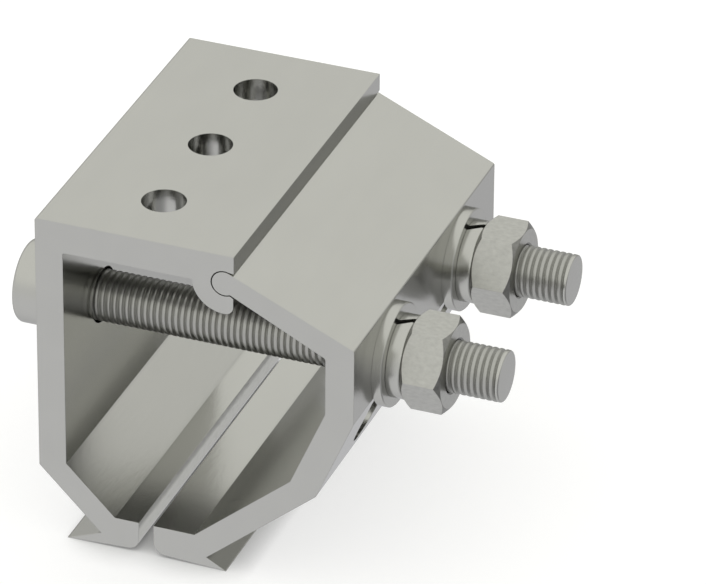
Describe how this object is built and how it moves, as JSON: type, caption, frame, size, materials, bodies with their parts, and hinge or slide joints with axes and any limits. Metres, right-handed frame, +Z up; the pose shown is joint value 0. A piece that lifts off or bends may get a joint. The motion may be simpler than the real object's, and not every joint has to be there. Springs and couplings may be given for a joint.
{
  "type": "standing seam roof clamp",
  "caption": "Hinged two-part extruded clamp that grips a standing roof seam, drawn shut by cross bolts, with a plate of screw holes on top.",
  "frame": {"origin": "middle of the seam slot at the level of the toes' tips, halfway along the clamp", "axes": "+X across the seam from the bolt heads to the nuts, +Y along the seam, +Z up to the plate"},
  "size_m": [0.0769, 0.06, 0.0548],
  "materials": {
    "body_aluminium": "bare extruded aluminium with a satin surface",
    "jaw_aluminium": "bare extruded aluminium with a satin surface",
    "stainless_steel": "plain stainless steel fasteners"
  },
  "bodies": {
    "body": {"fixed_body": "body_aluminium"},
    "jaw": {"swing_jaw": "jaw_aluminium"},
    "bolt_front": {"clamp_bolt_front": "stainless_steel"},
    "washers_front": {"flat_washer_front": "stainless_steel", "spring_washer_front": "stainless_steel"},
    "nut_front": {"hex_nut_front": "stainless_steel"},
    "bolt_rear": {"clamp_bolt_rear": "stainless_steel"},
    "washers_rear": {"flat_washer_rear": "stainless_steel", "spring_washer_rear": "stainless_steel"},
    "nut_rear": {"hex_nut_rear": "stainless_steel"}
  },
  "joints": [
    {"name": "jaw_swing", "type": "hinge", "parent": "body", "child": "jaw", "pos_m": [0.01277, 0, 0.05002], "axis": [0, -1, 0], "range_deg": [0, 15]},
    {"name": "bolt_front_spin", "type": "hinge", "parent": "body", "child": "bolt_front", "pos_m": [0, -0.015, 0.0344], "axis": [1, 0, 0], "continuous": true},
    {"name": "washers_front_slide", "type": "slide", "parent": "bolt_front", "child": "washers_front", "axis": [1, 0, 0], "range_m": [0, 0.0053]},
    {"name": "nut_front_turn", "type": "hinge", "parent": "washers_front", "child": "nut_front", "pos_m": [0.04, -0.015, 0.0344], "axis": [-1, 0, 0], "range_deg": [0, 1875]},
    {"name": "bolt_rear_spin", "type": "hinge", "parent": "body", "child": "bolt_rear", "pos_m": [0, 0.015, 0.0344], "axis": [1, 0, 0], "continuous": true},
    {"name": "washers_rear_slide", "type": "slide", "parent": "bolt_rear", "child": "washers_rear", "axis": [1, 0, 0], "range_m": [0, 0.0053]},
    {"name": "nut_rear_turn", "type": "hinge", "parent": "washers_rear", "child": "nut_rear", "pos_m": [0.04, 0.015, 0.0344], "axis": [-1, 0, 0], "range_deg": [0, 1875]}
  ],
  "couplings": [
    {"joint": "washers_front_slide", "follows": "nut_front_turn", "m_per_rad": 0.00015915},
    {"joint": "washers_rear_slide", "follows": "nut_front_turn", "m_per_rad": 0.00015915},
    {"joint": "nut_rear_turn", "follows": "nut_front_turn", "ratio": 1},
    {"joint": "jaw_swing", "follows": "nut_front_turn", "ratio": 0.0079977}
  ]
}
